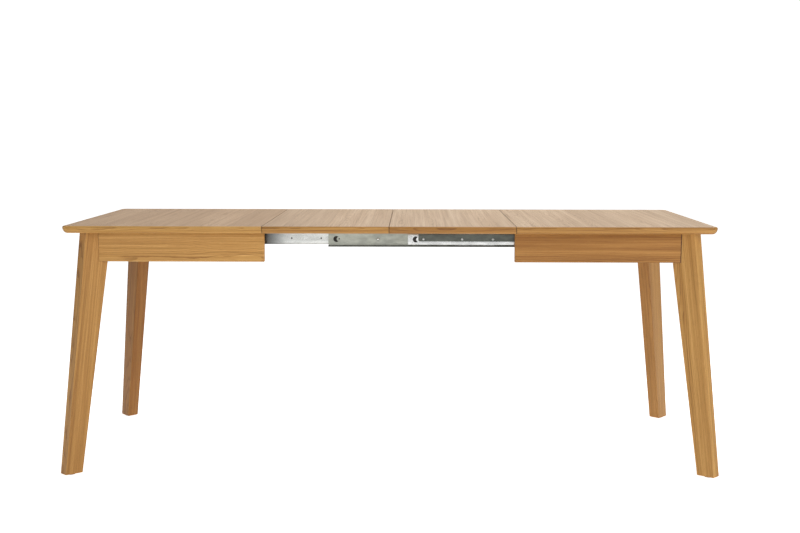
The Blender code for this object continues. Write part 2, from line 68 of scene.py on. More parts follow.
# The legs, the aprons and the hidden wood. A leg is a wedge set across its corner: reach is how far its
# outer side stands in from the table's corner along each edge, outer and inner are its two widths.
LEG_TOP = {"reach": 0.052, "outer": 0.036, "inner": 0.048, "depth": 0.084}
LEG_FOOT = {"reach": -0.011, "outer": 0.031, "inner": 0.041, "depth": 0.054}
LEG_EDGE_RADIUS, FOOT_EDGE_RADIUS = 0.0035, 0.0015
LEG_GRAIN_TURN = 0.35
APRON_HEIGHTS = (0.5, 0.8)
APRON_EDGE_RADIUS, BATTEN_EDGE_RADIUS = 0.0016, 0.0015
BLOCK_EDGE_RADIUS, BLOCK_LEAST_EDGE = 0.0012, 0.015
# Each apron joint holds a tongue of near-black oak, painted shade for the gap beside the leg.
APRON_LEG_GAP, TONGUE_GAP, TONGUE_INSET, TONGUE_LENGTH = 0.0022, 0.0003, 0.0003, 0.034

# The slides
SHEET, BEND = 0.0015, 0.0021
CHANNEL_LIP = 0.0042
CHANNEL_HEIGHT, RAIL_HEIGHT = 0.046, 0.033
STOP_FROM_END, STOP_RADIUS, STOP_TAB_RADIUS, STOP_TAB_SHIFT = 0.0240, 0.0092, 0.0070, 0.0082
CHANNEL_SLOT_REACH, RAIL_SLOT_REACH = (0.009, 0.017), (-0.002, 0.005)
# How near the mouth a channel face must lie to take the near-black steel, painted shade on the lips.
LIP_SHADE_BAND = 0.0004
# Dark discs behind the stop slots, painted shade in the slots.
CHANNEL_SHADE_DISC_PAST_STOP, RAIL_SHADE_DISC_PAST_STOP, SHADE_DISC_THICKNESS = 0.003, 0.002, 0.0012
STRIP_CORNER_RADIUS = 0.005

# Holes across the front slide: their places along X, and for some also their radius and how far above
# the slide's middle they lie
CHANNEL_HOLE = ((-0.1540,), 0.0022, 0.0005)
RUNNER_RAIL_HOLES = ((-0.3003, -0.2100), 0.0025, 0.0015)
APRON_RAIL_HOLES = ((0.1035, 0.2213, 0.3152), 0.0034, 0.0005)
RUNNER_SCREWS, APRON_SCREWS = (-0.430, -0.550), (0.450, 0.560)
SCREW_HOLE_RADIUS = 0.0023
RIVETS = (-0.035, 0.130)
# Dark plugs behind the runner rail's holes: painted shade in the holes.
SHADE_PLUG_RADIUS, SHADE_PLUG_TIP_RADIUS, SHADE_PLUG_THICKNESS = 0.0045, 0.0040, 0.0010

# The ball cages
CAGE_SHEET, CAGE_BEND = 0.0006, 0.0008
BALL_RADIUS, BALL_PITCH, MOST_BALLS, BALL_FROM_WEB = 0.0023, 0.0188, 6, 0.0024

# The small fasteners
BOLT_RADIUS, THREAD_PITCH, THREAD_DEPTH = 0.0039, 0.00125, 0.00045
BOLT_TIP_LENGTH, BOLT_TIP_INSET = 0.0008, 0.0012
WASHER_RADIUS, WASHER_THICKNESS, WASHER_EDGE = 0.011, 0.0016, 0.0003
NUT_RADIUS, NUT_THICKNESS, NUT_CHAMFER = 0.0075, 0.0065, 0.0016
NUT_FROM_END = 0.0140
SCREW_RADIUS, SCREW_HEAD_RADIUS = 0.0019, 0.0040
SCREW_HEAD_CROWN, SCREW_HEAD_HEIGHT, SCREW_NECK_END, SCREW_POINT = 0.0006, 0.0014, 0.0036, 0.003
RECESS_WIDTH, RECESS_THICKNESS, RECESS_DEPTH = 0.0019, 0.00045, 0.0009
RIVET_RADIUS, RIVET_HEAD_RADIUS, RIVET_DOME_RADIUS = 0.0023, 0.0039, 0.0031
RIVET_DOME_HEIGHT, RIVET_COLLAR = 0.0010, 0.0002
STRIP_RIVET_RADIUS, STRIP_RIVET_TAIL_RADIUS, STRIP_RIVET_TAIL = 0.0026, 0.0020, 0.0006
GLIDE_RIM, GLIDE_DISH = 0.0010, 0.0004

# Looks
VENEER_WIDTH = 0.128
RING_WIDTH = 0.0024
PLAIN_SAWN_ASIDE, OTHER_ASIDE = (0.030, 0.055), (0.05, 0.13)
SPOT_ALONG, SPOT_DEEP = (-4, 4), (0.035, 0.075)
PALE_BOARD, DARK_BOARD = (1.24, 1.34, 1.45), (0.76, 0.66, 0.52)
TOP_TONES = (0.52, 0.18, 0.08, 0.08)
EDGE_TONES = (0.00, 0.48, 0.80, 0.62)
# Each leg's tone is partly its board's tone and partly painted shade: the back left leg is made darkest
# because it stands in shade.
LEG_TONES_AND_SHADE = {"front_left": 0.52, "front_right": 0.25, "back_left": 1.00, "back_right": 0.55}
APRON_TONES = {"front_left": 0.02, "front_right": 0.88, "back_left": 0.5, "back_right": 0.5}
HIDDEN_TONE = 0.5
WORLD_LEFT, WORLD_RIGHT, WORLD_BEHIND = 0.17, 0.27, 0.55


# ---------------------------------------------------------------- shader helpers

class Shader:
    """A material built node by node. Inputs given as sockets are linked, the rest are set."""

    def __init__(self, name):
        self.material = bpy.data.materials.new(name)
        self.material.use_nodes = True
        self.tree = self.material.node_tree
        self.surface = self.tree.nodes["Principled BSDF"]

    def node(self, kind, inputs=(), **settings):
        made = self.tree.nodes.new(kind)
        for key, value in settings.items():
            setattr(made, key, value)
        for key, value in dict(inputs).items():
            self.put(made.inputs[key], value)
        return made

    def put(self, socket, value):
        if isinstance(value, bpy.types.NodeSocket):
            self.tree.links.new(value, socket)
        else:
            socket.default_value = value

    def math(self, operation, a, b=0.0):
        return self.node("ShaderNodeMath", {0: a, 1: b}, operation=operation).outputs[0]

    def vector(self, operation, a, b):
        return self.node("ShaderNodeVectorMath", {0: a, 1: b}, operation=operation).outputs["Vector"]

    def noise(self, where, scale, detail=3.0, roughness=0.55):
        """Noise stretched by a scale for each axis, 0 to 1."""
        stretched = self.vector("MULTIPLY", where, scale)
        inputs = {"Vector": stretched, "Scale": 1.0, "Detail": detail, "Roughness": roughness}
        return self.node("ShaderNodeTexNoise", inputs).outputs["Fac"]

    def ramp(self, value, stops):
        """A smooth ramp through the stops, each a place and a colour."""
        made = self.node("ShaderNodeValToRGB", {"Fac": value})
        elements = made.color_ramp.elements
        made.color_ramp.interpolation = "EASE"
        while len(elements) < len(stops):
            elements.new(0.5)
        for element, (place, colour) in zip(elements, stops):
            element.position = place
            element.color = (*colour, 1.0)
        return made.outputs["Color"]

    def step(self, value, low, high):
        """0 below low, 1 above high, smooth between."""
        inputs = {"Value": value, "From Min": low, "From Max": high}
        return self.node("ShaderNodeMapRange", inputs, interpolation_type="SMOOTHSTEP").outputs["Result"]

    def bump(self, height, strength, distance):
        inputs = {"Height": height, "Strength": strength, "Distance": distance}
        return self.node("ShaderNodeBump", inputs).outputs["Normal"]

    def mix(self, factor, a, b, blend="MIX"):
        made = self.node("ShaderNodeMix", data_type="RGBA", blend_type=blend)
        for socket, value in (("Factor_Float", factor), ("A_Color", a), ("B_Color", b)):
            found = next(s for s in made.inputs if s.identifier == socket)
            if isinstance(value, tuple) and len(value) == 3:
                value = (*value, 1.0)
            self.put(found, value)
        return next(s for s in made.outputs if s.identifier == "Result_Color")

    def finish(self, **inputs):
        for key, value in inputs.items():
            if isinstance(value, tuple) and len(value) == 3 and key.endswith("Color"):
                value = (*value, 1.0)
            self.put(self.surface.inputs[key.replace("_", " ")], value)
        return self.material


def veneer_strips(s, grain):
    """Strips of veneer side by side, each from its own place in the log.
    Gives their grain coordinates, a shade for each strip, and where the hairline joints are."""
    parts = s.node("ShaderNodeSeparateXYZ", {0: grain}).outputs
    strip = s.math("MULTIPLY", parts["Y"], 1.0 / VENEER_WIDTH)
    number = s.math("FLOOR", strip)
    shade = s.node("ShaderNodeTexWhiteNoise", {"W": number}, noise_dimensions="1D").outputs["Value"]
    from_middle = s.math("SUBTRACT", s.math("FRACT", strip), 0.5)
    across = s.math("MULTIPLY", from_middle, VENEER_WIDTH)
    across = s.math("ADD", across, s.math("MULTIPLY", shade, 0.11))
    along = s.math("ADD", parts["X"], s.math("MULTIPLY", number, 1.7))
    place = s.node("ShaderNodeCombineXYZ", {"X": along, "Y": across, "Z": parts["Z"]}).outputs["Vector"]
    joint = s.step(s.math("ABSOLUTE", from_middle), 0.4968, 0.4985)
    return place, shade, joint


def growth_rings(s, grain):
    """Where the porous early wood of each year shows: cylinders round a wandering pith."""
    wander = s.noise(grain, (1.3, 6.0, 6.0), 2.0)
    ripple = s.noise(grain, (7.0, 30.0, 30.0), 2.0)
    flat = s.vector("MULTIPLY", grain, (0.012, 1.0, 1.0))
    radius = s.node("ShaderNodeVectorMath", {0: flat}, operation="LENGTH").outputs["Value"]
    swing = s.math("MULTIPLY", s.math("SUBTRACT", wander, 0.5), 0.034)
    swing = s.math("ADD", swing, s.math("MULTIPLY", s.math("SUBTRACT", ripple, 0.5), 0.006))
    ring = s.math("FRACT", s.math("MULTIPLY", s.math("ADD", radius, swing), 1.0 / RING_WIDTH))
    fading = s.math("SUBTRACT", 1.0, s.step(ring, 0.0, 0.50))
    return s.math("MULTIPLY", fading, s.step(ring, 0.0, 0.06))


def oak(name, light, mid, dark, lacquer=True, veneer=False, figure=0.17):
    """Oak with growth rings, streaks of fibre, open pores and rays, on the piece's own grain
    coordinates: X runs along the grain, Y across the face and Z into it, in metres."""
    s = Shader(name)
    grain = s.node("ShaderNodeAttribute", attribute_name="grain").outputs["Vector"]
    wear = s.node("ShaderNodeAttribute", attribute_name="wear").outputs["Fac"]
    # The tone darkens the board; for the legs it is partly painted shade.
    board_tone_and_shade = s.node("ShaderNodeAttribute", attribute_name="tone").outputs["Fac"]
    if veneer:
        grain, shade, joint = veneer_strips(s, grain)
    early = growth_rings(s, grain)
    band = s.noise(grain, (0.8, 55.0, 55.0), 3.0, 0.5)
    fibre = s.noise(grain, (2.4, 190.0, 190.0), 6.0, 0.64)
    fine = s.noise(grain, (14.0, 1400.0, 1400.0), 3.0, 0.6)
    pores = s.step(s.noise(grain, (75.0, 2300.0, 2300.0), 2.0, 0.5), 0.565, 0.66)
    pores = s.math("MULTIPLY", pores, s.math("ADD", s.math("MULTIPLY", early, 0.75), 0.25))
    rays = s.step(s.noise(grain, (34.0, 260.0, 900.0), 2.0, 0.5), 0.66, 0.72)

    tone = s.math("ADD", s.math("MULTIPLY", fibre, 0.80), s.math("MULTIPLY", band, 0.50))
    tone = s.math("SUBTRACT", tone, s.math("MULTIPLY", early, figure))
    tone = s.math("ADD", tone, s.math("MULTIPLY", s.math("SUBTRACT", fine, 0.5), 0.16))
    tone = s.math("ADD", tone, s.math("MULTIPLY", rays, 0.06))
    colour = s.ramp(tone, ((0.40, dark), (0.60, mid), (0.80, light)))
    drift = s.noise(grain, (0.9, 3.2, 3.2), 2.0)
    colour = s.mix(s.step(drift, 0.36, 0.68), colour, s.mix(0.25, colour, dark))
    if veneer:
        colour = s.mix(s.math("MULTIPLY", shade, 0.30), colour, tinted(mid, 0.76))
        colour = s.mix(s.math("MULTIPLY", joint, 0.45), colour, tinted(dark, 0.45))
    pale = s.mix(1.0, colour, PALE_BOARD, "MULTIPLY")
    deep = s.mix(1.0, colour, DARK_BOARD, "MULTIPLY")
    colour = s.mix(board_tone_and_shade, pale, deep)
    colour = s.mix(s.math("MULTIPLY", pores, 0.60), colour, tinted(dark, 0.42))
    colour = s.mix(s.math("MULTIPLY", wear, 0.14), colour, light)

    rough = s.math("ADD", s.math("MULTIPLY", fibre, 0.12), 0.44 if lacquer else 0.58)
    rough = s.math("ADD", rough, s.math("MULTIPLY", pores, 0.12))
    relief = s.math("SUBTRACT", s.math("MULTIPLY", fine, 0.25), s.math("MULTIPLY", pores, 0.9))
    relief = s.math("ADD", relief, s.math("MULTIPLY", fibre, 0.35))
    relief = s.math("SUBTRACT", relief, s.math("MULTIPLY", early, 0.25))
    bump = s.bump(relief, 0.35 if lacquer else 0.6, 0.00012)
    return s.finish(Base_Color=colour, Roughness=rough, Normal=bump, Specular_IOR_Level=0.38)


def tinted(colour, share):
    """The colour with its brightness cut to this share."""
    return tuple(c * share for c in colour)


def zinc(name, colour, roughness, painted_shade_from=None):
    """Zinc-plated sheet, drawn along X, with faint clouding and handling marks.
    Given a place, it is painted darker from there outwards along X, as painted shade."""
    s = Shader(name)
    where = s.node("ShaderNodeTexCoord").outputs["Object"]
    drawn = s.noise(where, (14.0, 2600.0, 2600.0), 3.0, 0.6)
    cloud = s.noise(where, (26.0, 60.0, 60.0), 4.0, 0.6)
    speck = s.noise(where, (420.0, 420.0, 420.0), 2.0, 0.5)
    shade = s.mix(s.step(cloud, 0.32, 0.70), tinted(colour, 0.70), colour)
    shade = s.mix(s.math("MULTIPLY", s.step(drawn, 0.45, 0.75), 0.25), shade, tinted(colour, 0.70))
    shade = s.mix(s.math("MULTIPLY", s.step(speck, 0.64, 0.72), 0.30), shade, tinted(colour, 0.5))
    if painted_shade_from is not None:
        outwards = s.math("ABSOLUTE", s.node("ShaderNodeSeparateXYZ", {0: where}).outputs["X"])
        ragged = s.math("ADD", outwards, s.math("MULTIPLY", cloud, 0.02))
        # Painted shade towards the outer end.
        painted_shade = s.step(ragged, painted_shade_from, painted_shade_from + 0.085)
        shade = s.mix(s.math("MULTIPLY", painted_shade, 0.88), shade, tinted(colour, 0.10))
    rough = s.math("ADD", s.math("MULTIPLY", drawn, 0.10), roughness - 0.05)
    rough = s.math("ADD", rough, s.math("MULTIPLY", cloud, 0.06))
    bump = s.bump(drawn, 0.3, 0.00004)
    return s.finish(Base_Color=shade, Metallic=1.0, Roughness=rough, Normal=bump)


def nylon(name, colour):
    s = Shader(name)
    where = s.node("ShaderNodeTexCoord").outputs["Object"]
    mottle = s.noise(where, (160.0, 160.0, 160.0), 4.0, 0.6)
    shade = s.mix(s.step(mottle, 0.35, 0.7), tinted(colour, 0.8), colour)
    bump = s.bump(mottle, 0.3, 0.0001)
    return s.finish(Base_Color=shade, Roughness=0.62, Normal=bump)


OAK_FRAME = oak("Oak frame", (0.622, 0.342, 0.103), (0.480, 0.238, 0.060), (0.290, 0.124, 0.026))
OAK_EDGE = oak("Oak edge lipping", (0.56, 0.300, 0.086), (0.42, 0.205, 0.047), (0.24, 0.100, 0.018))
OAK_TOP = oak(
    "Oak veneer top", (0.650, 0.463, 0.303), (0.545, 0.362, 0.218), (0.378, 0.229, 0.124),
    veneer=True, figure=0.13,
)
OAK_HIDDEN = oak("Planed oak", (0.60, 0.39, 0.19), (0.49, 0.30, 0.125), (0.36, 0.195, 0.07), lacquer=False)
# Near-black oak, painted shade: it stands for the shadow in each apron joint's gap and along the seams of
# the top.
OAK_JOINT_SHADE = oak("Oak painted dark as joint shade", (0.13, 0.065, 0.024), (0.085, 0.040, 0.014), (0.050, 0.022, 0.008))
ZINC = zinc("Zinc-plated steel", (0.95, 0.96, 0.94), 0.24)
# The runner's rail: zinc painted darker than the apron's rail, and darker still at its outer end, both as
# painted shade.
ZINC_SHADED = zinc("Zinc-plated steel painted darker as shade", (0.75, 0.76, 0.73), 0.25, painted_shade_from=0.300)
# The channels' zinc: a greenish passivated finish, made darker than the rails' zinc partly as painted shade
# under the top.
ZINC_PASSIVATED_SHADED = zinc("Passivated steel, partly darkened as painted shade", (0.47, 0.48, 0.415), 0.30)
# Near-black steel, painted shade: on the channels' lips, which stand in shadow, and on the collars round
# the rivet heads, as their shadow ring.
STEEL_SHADE = zinc("Near-black steel painted as shade", (0.06, 0.06, 0.055), 0.45)
STRIP = zinc("Dull steel strip", (0.155, 0.165, 0.145), 0.38)
CAGE = zinc("Cage steel", (0.70, 0.70, 0.68), 0.28)
BOLT = zinc("Bolt steel", (0.66, 0.66, 0.64), 0.34)
NYLON = nylon("Dark nylon", (0.012, 0.011, 0.010))


# ---------------------------------------------------------------- meshes

def show(name, bm, materials, node, smooth_angle=32, instead=True):
    """Makes the piece from a bmesh, riding on the CAD node's body and in that node's place,
    or beside it when instead is false."""
    bmesh.ops.recalc_face_normals(bm, faces=bm.faces)
    mesh = bpy.data.meshes.new(name)
    bm.to_mesh(mesh)
    bm.free()
    obj = bpy.data.objects.new(name, mesh)
    bpy.context.scene.collection.objects.link(obj)
    for material in materials:
        mesh.materials.append(material)
    mesh.shade_smooth()
    mesh.set_sharp_from_angle(angle=math.radians(smooth_angle))
    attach(obj, BODY_OF[node])
    if instead:
        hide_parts(node)
    return obj


def board_frame(along, across, middle, seed, plain_sawn=False):
    """A matrix from a place on the table to grain coordinates, with the board's own spot in the log.
    along and across are directions, and middle is the board's middle. A plain-sawn board is cut
    nearer the pith, so its lines wander more than those of the others."""
    along = Vector(along).normalized()
    through = along.cross(Vector(across)).normalized()
    across = through.cross(along)
    turn = Matrix((along, across, through)).to_4x4()
    dice = random.Random(seed)
    aside = dice.uniform(*(PLAIN_SAWN_ASIDE if plain_sawn else OTHER_ASIDE))
    spot = Vector((dice.uniform(*SPOT_ALONG), aside, dice.uniform(*SPOT_DEEP)))
    return Matrix.Translation(spot) @ turn @ Matrix.Translation(-Vector(middle))


def lay_grain(bm, choose):
    """Stores each face corner's grain coordinates and tone. choose gives a matrix and a tone for a
    face, and the tone goes from 0 for a pale board to 1 for a dark one; the legs' tones also carry painted
    shade."""
    places = bm.loops.layers.float_vector.new("grain")
    tones = bm.loops.layers.float.new("tone")
    for face in bm.faces:
        matrix, tone = choose(face)
        for loop in face.loops:
            loop[places] = matrix @ loop.vert.co
            loop[tones] = tone


def round_off(bm, edges, radius, segments=4):
    """Rounds the edges and marks the rounding as the place where wear shows."""
    layer = bm.verts.layers.float.get("wear") or bm.verts.layers.float.new("wear")
    made = bmesh.ops.bevel(
        bm, geom=list(edges), offset=radius, segments=segments, profile=0.5, affect="EDGES",
        clamp_overlap=True,
    )
    strip = set(made["faces"])
    for vert in made["verts"]:
        if vert.is_valid and all(face in strip for face in vert.link_faces):
            vert[layer] = 1.0


def solid(corners):
    """A six-sided bmesh. corners takes -1 or 1 for each axis and gives the place."""
    bm = bmesh.new()
    bmesh.ops.create_cube(bm, size=2.0)
    for vert in bm.verts:
        vert.co = corners(*(1 if c > 0 else -1 for c in vert.co))
    return bm


def block(low, high, radius=0.0, segments=4):
    """A box from its lowest to its highest corner, with rounded edges if it has a radius."""
    middle, half = (low + high) / 2, (high - low) / 2
    bm = solid(lambda x, y, z: middle + Vector((x * half.x, y * half.y, z * half.z)))
    if radius:
        round_off(bm, bm.edges, radius, segments)
    return bm


def cut_away(bm, cutters):
    """The bmesh with other bmeshes cut out of it."""
    def temporary(source):
        mesh = bpy.data.meshes.new("temporary")
        source.to_mesh(mesh)
        source.free()
        obj = bpy.data.objects.new("temporary", mesh)
        bpy.context.scene.collection.objects.link(obj)
        return obj
    target = temporary(bm)
    tools = [temporary(cutter) for cutter in cutters]
    for tool in tools:
        boolean = target.modifiers.new("Cut", "BOOLEAN")
        boolean.object = tool
    bpy.context.view_layer.update()
    evaluated = target.evaluated_get(bpy.context.evaluated_depsgraph_get())
    result = bmesh.new()
    result.from_mesh(evaluated.to_mesh())
    evaluated.to_mesh_clear()
    for obj in (target, *tools):
        bpy.data.objects.remove(obj)
    return result


def rod(start, end, radius):
    along = end - start
    place = Matrix.Translation((start + end) / 2) @ along.to_track_quat("Z", "Y").to_matrix().to_4x4()
    bm = bmesh.new()
    bmesh.ops.create_cone(
        bm, cap_ends=True, segments=28, radius1=radius, radius2=radius, depth=along.length, matrix=place
    )
    return bm


def join(*parts):
    """One bmesh holding all the parts."""
    whole = bmesh.new()
    for part in parts:
        mesh = bpy.data.meshes.new("part")
        part.to_mesh(mesh)
        part.free()
        whole.from_mesh(mesh)
        bpy.data.meshes.remove(mesh)
    return whole


# ---------------------------------------------------------------- boards of the top

def edge_profile():
    """(inset, depth) round the nose and down the undercut."""
    points = [(NOSE_INSET + TOP_RIM, 0.0)]
    for i in range(NOSE_STEPS + 1):
        angle = math.radians(90 * i / NOSE_STEPS)
        points.append((NOSE_INSET * (1 - math.sin(angle)), NOSE_DEPTH * (1 - math.cos(angle))))
    under = TOP_THICKNESS - NOSE_DEPTH
    for i in range(1, UNDERCUT_STEPS + 1):
        angle = math.radians(90 * i / UNDERCUT_STEPS)
        points.append((BOTTOM_INSET * (1 - math.cos(angle)), NOSE_DEPTH + under * math.sin(angle)))
    return points


def outline(inset):
    """The whole top's outline at this inset, with round corners."""
    radius = CORNER_RADIUS - inset
    half_x, half_y = LENGTH / 2 - CORNER_RADIUS, WIDTH / 2 - CORNER_RADIUS
    points = []
    for corner, (sx, sy) in enumerate(((1, 1), (-1, 1), (-1, -1), (1, -1))):
        for i in range(CORNER_STEPS + 1):
            angle = math.radians(90 * corner + 90 * i / CORNER_STEPS)
            points.append((sx * half_x + radius * math.cos(angle), sy * half_y + radius * math.sin(angle)))
    return points


def whole_top():
    """The whole moulded top as one bmesh, from its profile and its outline."""
    bm = bmesh.new()
    loops = []
    for inset, depth in edge_profile():
        verts = [bm.verts.new((x, y, HEIGHT - depth)) for x, y in outline(inset)]
        loops.append([bm.edges.new(pair) for pair in zip(verts, verts[1:] + verts[:1])])
        if len(loops) == 1:
            bm.faces.new(verts)
    bm.faces.new(list(reversed(verts)))
    for above, below in zip(loops, loops[1:]):
        bmesh.ops.bridge_loops(bm, edges=above + below)
    return bm


def cut_at(bm, x, outwards):
    """Cuts the boards off at x on the outward side and closes the cut."""
    everything = bm.verts[:] + bm.edges[:] + bm.faces[:]
    cut = bmesh.ops.bisect_plane(
        bm, geom=everything, plane_co=(x, 0, 0), plane_no=(outwards, 0, 0), clear_outer=True, dist=0.000001
    )
    rim = [e for e in cut["geom_cut"] if isinstance(e, bmesh.types.BMEdge)]
    bmesh.ops.contextual_create(bm, geom=rim)


def by_seam(piece, seams, reach=SAME_PLACE):
    """Whether an edge or a face lies within reach of a seam, all of it."""
    return any(all(abs(vert.co.x - x) < reach for vert in piece.verts) for x in seams)


def wear_nose(bm):
    """Marks the wear along the top of the moulded nose."""
    wear = bm.verts.layers.float.new("wear")
    for vert in bm.verts:
        nose = abs(HEIGHT - vert.co.z - WEAR_DEPTH) / WEAR_SPREAD
        vert[wear] = max(0.0, 1.0 - nose) if vert.co.z < HEIGHT - SAME_PLACE else 0.0


def board(node, number):
    """One board of the top, cut from the whole moulded top at its seams. Its flat faces are veneer
    and its outer edge is lipping, and only the eased edges of a seam are painted dark, as painted shade in
    the seam."""
    low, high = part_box(node)
    bm = whole_top()
    seams = [x for x in (low.x, high.x) if abs(abs(x) - LENGTH / 2) > SAME_PLACE]
    for x in seams:
        cut_at(bm, x, 1 if x == high.x else -1)
    bmesh.ops.recalc_face_normals(bm, faces=bm.faces)
    wear_nose(bm)
    round_off(bm, [e for e in bm.edges if by_seam(e, seams)], SEAM_EDGE_RADIUS, 3)
    middle = (low + high) / 2
    veneer = board_frame((0, 1, 0), (1, 0, 0), middle, number + 1)
    front = board_frame((1, 0, 0), (0, 0, 1), middle, number + 41, plain_sawn=True)
    end = board_frame((0, 1, 0), (0, 0, 1), middle, number + 61)
    for face in bm.faces:
        upright = abs(face.normal.x) > 0.999
        # The eased faces along a seam take the near-black oak: painted shade in the seam.
        eased = by_seam(face, seams, SEAM_EDGE_RADIUS * 1.1) and not upright
        face.material_index = 2 if eased else 0 if abs(face.normal.z) > 0.999 else 1

    def choose(face):
        if face.material_index == 0:
            return veneer, TOP_TONES[number]
        if abs(face.normal.x) > 0.999 and by_seam(face, seams):
            return veneer, EDGE_TONES[number]
        place = face.calc_center_median()
        nearer_end = LENGTH / 2 - abs(place.x) < WIDTH / 2 - abs(place.y)
        return end if nearer_end else front, EDGE_TONES[number]
    lay_grain(bm, choose)
    show(node + "_board", bm, [OAK_TOP, OAK_EDGE, OAK_JOINT_SHADE], node, 40)


# ---------------------------------------------------------------- legs and aprons

def corner_signs(place):
    return (-1 if "left" in place else 1), (-1 if "front" in place else 1)


def leg_corner(place, z, inner, side, grown=0.0):
    """A corner of the leg's wedge section: inner picks the inner edge, side one of its two ends."""
    share = z / UNDERSIDE
    size = {key: LEG_FOOT[key] + (LEG_TOP[key] - LEG_FOOT[key]) * share for key in LEG_TOP}
    along = size["depth"] + grown if inner else -grown
    half = (size["inner"] if inner else size["outer"]) / 2 + grown
    from_end = size["reach"] + (along + side * half) / math.sqrt(2)
    from_side = size["reach"] + (along - side * half) / math.sqrt(2)
    sx, sy = corner_signs(place)
    return Vector((sx * (LENGTH / 2 - from_end), sy * (WIDTH / 2 - from_side), z))


def leg_solid(place, low, high, grown=0.0):
    """The leg's wedge from one height to another, or a bigger one to cut with."""
    return solid(lambda x, y, z: leg_corner(place, high if z > 0 else low, x > 0, y, grown))


def leg_middle(place, z):
    return sum((leg_corner(place, z, inner, side) for inner in (0, 1) for side in (-1, 1)), Vector()) / 4


def leg(place, seed):
    """A splayed wedge leg, with its grain running from the foot to the head."""
    node = place + "_leg"
    low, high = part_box(node)
    bm = leg_solid(place, low.z, high.z)
    rising = [e for e in bm.edges if abs(e.verts[0].co.z - e.verts[1].co.z) > SAME_PLACE]
    round_off(bm, rising, LEG_EDGE_RADIUS, 5)
    lowest = [e for e in bm.edges if max(v.co.z for v in e.verts) < low.z + SAME_PLACE]
    round_off(bm, lowest, FOOT_EDGE_RADIUS, 3)
    sx, sy = corner_signs(place)
    foot, head = leg_middle(place, low.z), leg_middle(place, high.z)
    grain = board_frame(head - foot, (sx, sy * LEG_GRAIN_TURN, 0), (head + foot) / 2, seed)
    # The leg's tone carries painted shade as well as board tone.
    lay_grain(bm, lambda face: (grain, LEG_TONES_AND_SHADE[place]))
    show(node + "_wood", bm, [OAK_FRAME], node)


def tongue(low, high, place, axis):
    """A block of dark oak between an apron's end and its leg, a little inside the apron's faces: painted
    shade standing for the shadow in the joint's gap.
    """
    start, end = low + Vector((TONGUE_INSET,) * 3), high - Vector((TONGUE_INSET,) * 3)
    if corner_signs(place)[axis] < 0:
        start[axis], end[axis] = low[axis], low[axis] + TONGUE_LENGTH
    else:
        start[axis], end[axis] = high[axis] - TONGUE_LENGTH, high[axis]
    bm = cut_away(block(start, end), [leg_solid(place, *APRON_HEIGHTS, TONGUE_GAP)])
    for face in bm.faces:
        face.material_index = 1
    return bm


def apron(node, legs, along, seed, tone, plain_sawn=False):
    """A board under the top, with its ends cut to the legs and a dark tongue in each joint as painted shade
    for the joint's gap.
    """
    low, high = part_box(node)
    cutters = [leg_solid(place, *APRON_HEIGHTS, APRON_LEG_GAP) for place in legs]
    plank = cut_away(block(low, high, APRON_EDGE_RADIUS), cutters)
    axis = 0 if along[0] else 1
    bm = join(plank, *(tongue(low, high, place, axis) for place in legs))
    grain = board_frame(along, (0, 0, 1), (low + high) / 2, seed, plain_sawn)
    lay_grain(bm, lambda face: (grain, tone))
    show(node + "_wood", bm, [OAK_FRAME, OAK_JOINT_SHADE], node)


def plain_board(node, along, across, seed):
    """A batten or runner, a planed board with eased edges."""
    low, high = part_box(node)
    bm = block(low, high, BATTEN_EDGE_RADIUS, 3)
    grain = board_frame(along, across, (low + high) / 2, seed)
    lay_grain(bm, lambda face: (grain, HIDDEN_TONE))
    show(node + "_wood", bm, [OAK_HIDDEN], node)


def corner_block(place, seed):
    """The CAD block again, with its grain running across the corner and eased edges."""
    node = place + "_corner_block"
    bm = bmesh.new()
    bm.from_mesh(NODES[node].data)
    bmesh.ops.remove_doubles(bm, verts=bm.verts, dist=SAME_PLACE)
    bmesh.ops.dissolve_limit(bm, angle_limit=math.radians(1), verts=bm.verts, edges=bm.edges)
    bmesh.ops.recalc_face_normals(bm, faces=bm.faces)
    sharp = [e for e in bm.edges if e.calc_face_angle(0.0) > math.radians(25)]
    round_off(bm, [e for e in sharp if e.calc_length() > BLOCK_LEAST_EDGE], BLOCK_EDGE_RADIUS, 3)
    sx, sy = corner_signs(place)
    low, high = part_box(node)
    grain = board_frame((sx, -sy, 0), (0, 0, 1), (low + high) / 2, seed)
    lay_grain(bm, lambda face: (grain, HIDDEN_TONE))
    show(node + "_wood", bm, [OAK_HIDDEN], node)


# ---------------------------------------------------------------- turned metal

def turned(profile, start, direction, radius_at=None, segments=32):
    """A bmesh turned round an axis. profile is (distance along the axis, radius) from end to end, and
    radius_at may give the most that the radius can be at an angle, such as for a hexagon."""
    turn = Vector(direction).to_track_quat("Z", "Y").to_matrix().to_4x4()
    place = Matrix.Translation(Vector(start)) @ turn
    bm = bmesh.new()
    rings = []
    for along, radius in profile:
        if radius == 0:
            rings.append([bm.verts.new(place @ Vector((0, 0, along)))])
            continue
        ring = []
        for i in range(segments):
            angle = 2 * math.pi * i / segments
            reach = min(radius, radius_at(angle)) if radius_at else radius
            point = Vector((reach * math.cos(angle), reach * math.sin(angle), along))
            ring.append(bm.verts.new(place @ point))
        rings.append(ring)
    for lower, upper in zip(rings, rings[1:]):
        for i in range(segments):
            corners = []
            for ring, step in ((lower, i), (lower, i + 1), (upper, i + 1), (upper, i)):
                vert = ring[step % len(ring)]
                if vert not in corners:
                    corners.append(vert)
            bm.faces.new(corners)
    return bm


def dome(base, top, radius, steps=6):
    """Profile points of a low dome, from its rim at base to its crown at top."""
    points = []
    for i in range(steps + 1):
        angle = math.radians(90 * i / steps)
        points.append((base + (top - base) * math.sin(angle), radius * math.cos(angle) if i < steps else 0))
    return points


